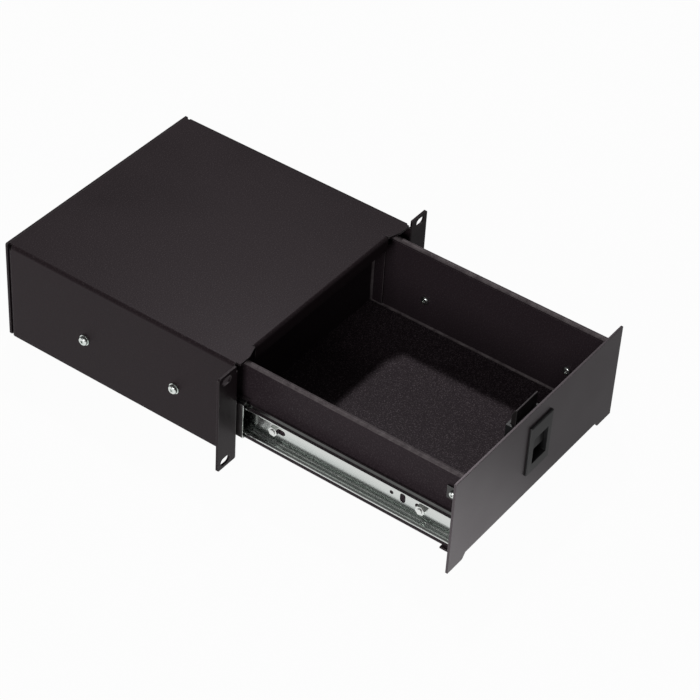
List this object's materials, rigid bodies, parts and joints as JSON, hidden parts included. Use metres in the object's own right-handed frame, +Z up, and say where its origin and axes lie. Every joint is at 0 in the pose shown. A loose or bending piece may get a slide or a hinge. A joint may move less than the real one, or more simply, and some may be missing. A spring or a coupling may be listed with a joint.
{
  "type": "sliding rack drawer",
  "caption": "Two-unit half-width rack drawer: a folded steel case with slotted ears, and a drawer on ball-bearing slides with a paddle latch in its flat front.",
  "frame": {"origin": "middle of the four slots of the rack ears, on the ears' front plane", "axes": "+X to the right seen from the front, +Y to the back of the rack, +Z up"},
  "size_m": [0.254, 0.4091, 0.0882],
  "materials": {
    "case_paint": "fine-textured satin black powder coat",
    "drawer_paint": "fine-textured satin black powder coat",
    "panel_paint": "smooth satin black powder coat",
    "slide_zinc": "bright zinc-plated rolled steel",
    "cage_steel": "zinc-plated pressed steel",
    "ball_steel": "polished bearing steel",
    "screw_zinc": "bright zinc plate",
    "bracket_zinc": "zinc-plated steel",
    "bumper_plastic": "moulded black plastic",
    "latch_plastic": "fine-textured black plastic",
    "bolt_steel": "smooth black-coated steel",
    "pin_steel": "ground steel",
    "spring_steel": "drawn spring wire"
  },
  "bodies": {
    "case": {"case_shell": "case_paint", "base_plate": "case_paint", "rear_panel": "case_paint", "rear_screws": "screw_zinc", "slide_outer_left": "slide_zinc", "slide_outer_right": "slide_zinc", "slide_outer_screws": "screw_zinc", "slide_outer_washers": "screw_zinc", "slide_bumper_left": "bumper_plastic", "slide_bumper_right": "bumper_plastic"},
    "cage_left": {"ball_cage_left": "cage_steel", "slide_balls_left": "ball_steel"},
    "cage_right": {"ball_cage_right": "cage_steel", "slide_balls_right": "ball_steel"},
    "drawer": {"drawer_tray": "drawer_paint", "drawer_back": "drawer_paint", "front_panel": "panel_paint", "front_angle": "drawer_paint", "slide_runner_left": "slide_zinc", "slide_runner_right": "slide_zinc", "slide_runner_screws": "screw_zinc", "slide_runner_nuts": "screw_zinc", "side_bracket_left": "bracket_zinc", "side_bracket_right": "bracket_zinc", "bracket_screws": "screw_zinc", "bracket_nuts": "screw_zinc", "panel_studs": "screw_zinc", "panel_nuts": "screw_zinc", "latch_bezel": "latch_plastic", "latch_housing": "latch_plastic", "latch_pin": "pin_steel", "latch_spring": "spring_steel"},
    "paddle": {"latch_paddle": "latch_plastic"},
    "bolt": {"latch_bolt": "bolt_steel"}
  },
  "joints": [
    {"name": "drawer_slide", "type": "slide", "parent": "case", "child": "drawer", "axis": [0, 1, 0], "range_m": [0, 0.1805]},
    {"name": "cage_slide_left", "type": "slide", "parent": "case", "child": "cage_left", "axis": [0, 1, 0], "range_m": [0, 0.0903]},
    {"name": "cage_slide_right", "type": "slide", "parent": "case", "child": "cage_right", "axis": [0, 1, 0], "range_m": [0, 0.0903]},
    {"name": "paddle_hinge", "type": "hinge", "parent": "drawer", "child": "paddle", "pos_m": [0, -0.183, 0.01795], "axis": [-1, 0, 0], "range_deg": [0, 29]},
    {"name": "bolt_slide", "type": "slide", "parent": "drawer", "child": "bolt", "axis": [0, 0, -1], "range_m": [0, 0.00514], "stiffness_N_per_m": 400, "springref_m": -0.006, "deforming": ["latch_spring"]}
  ],
  "couplings": [
    {"joint": "cage_slide_left", "follows": "drawer_slide", "ratio": 0.5},
    {"joint": "cage_slide_right", "follows": "drawer_slide", "ratio": 0.5},
    {"joint": "paddle_hinge", "follows": "bolt_slide", "rad_per_m": 95.147}
  ]
}
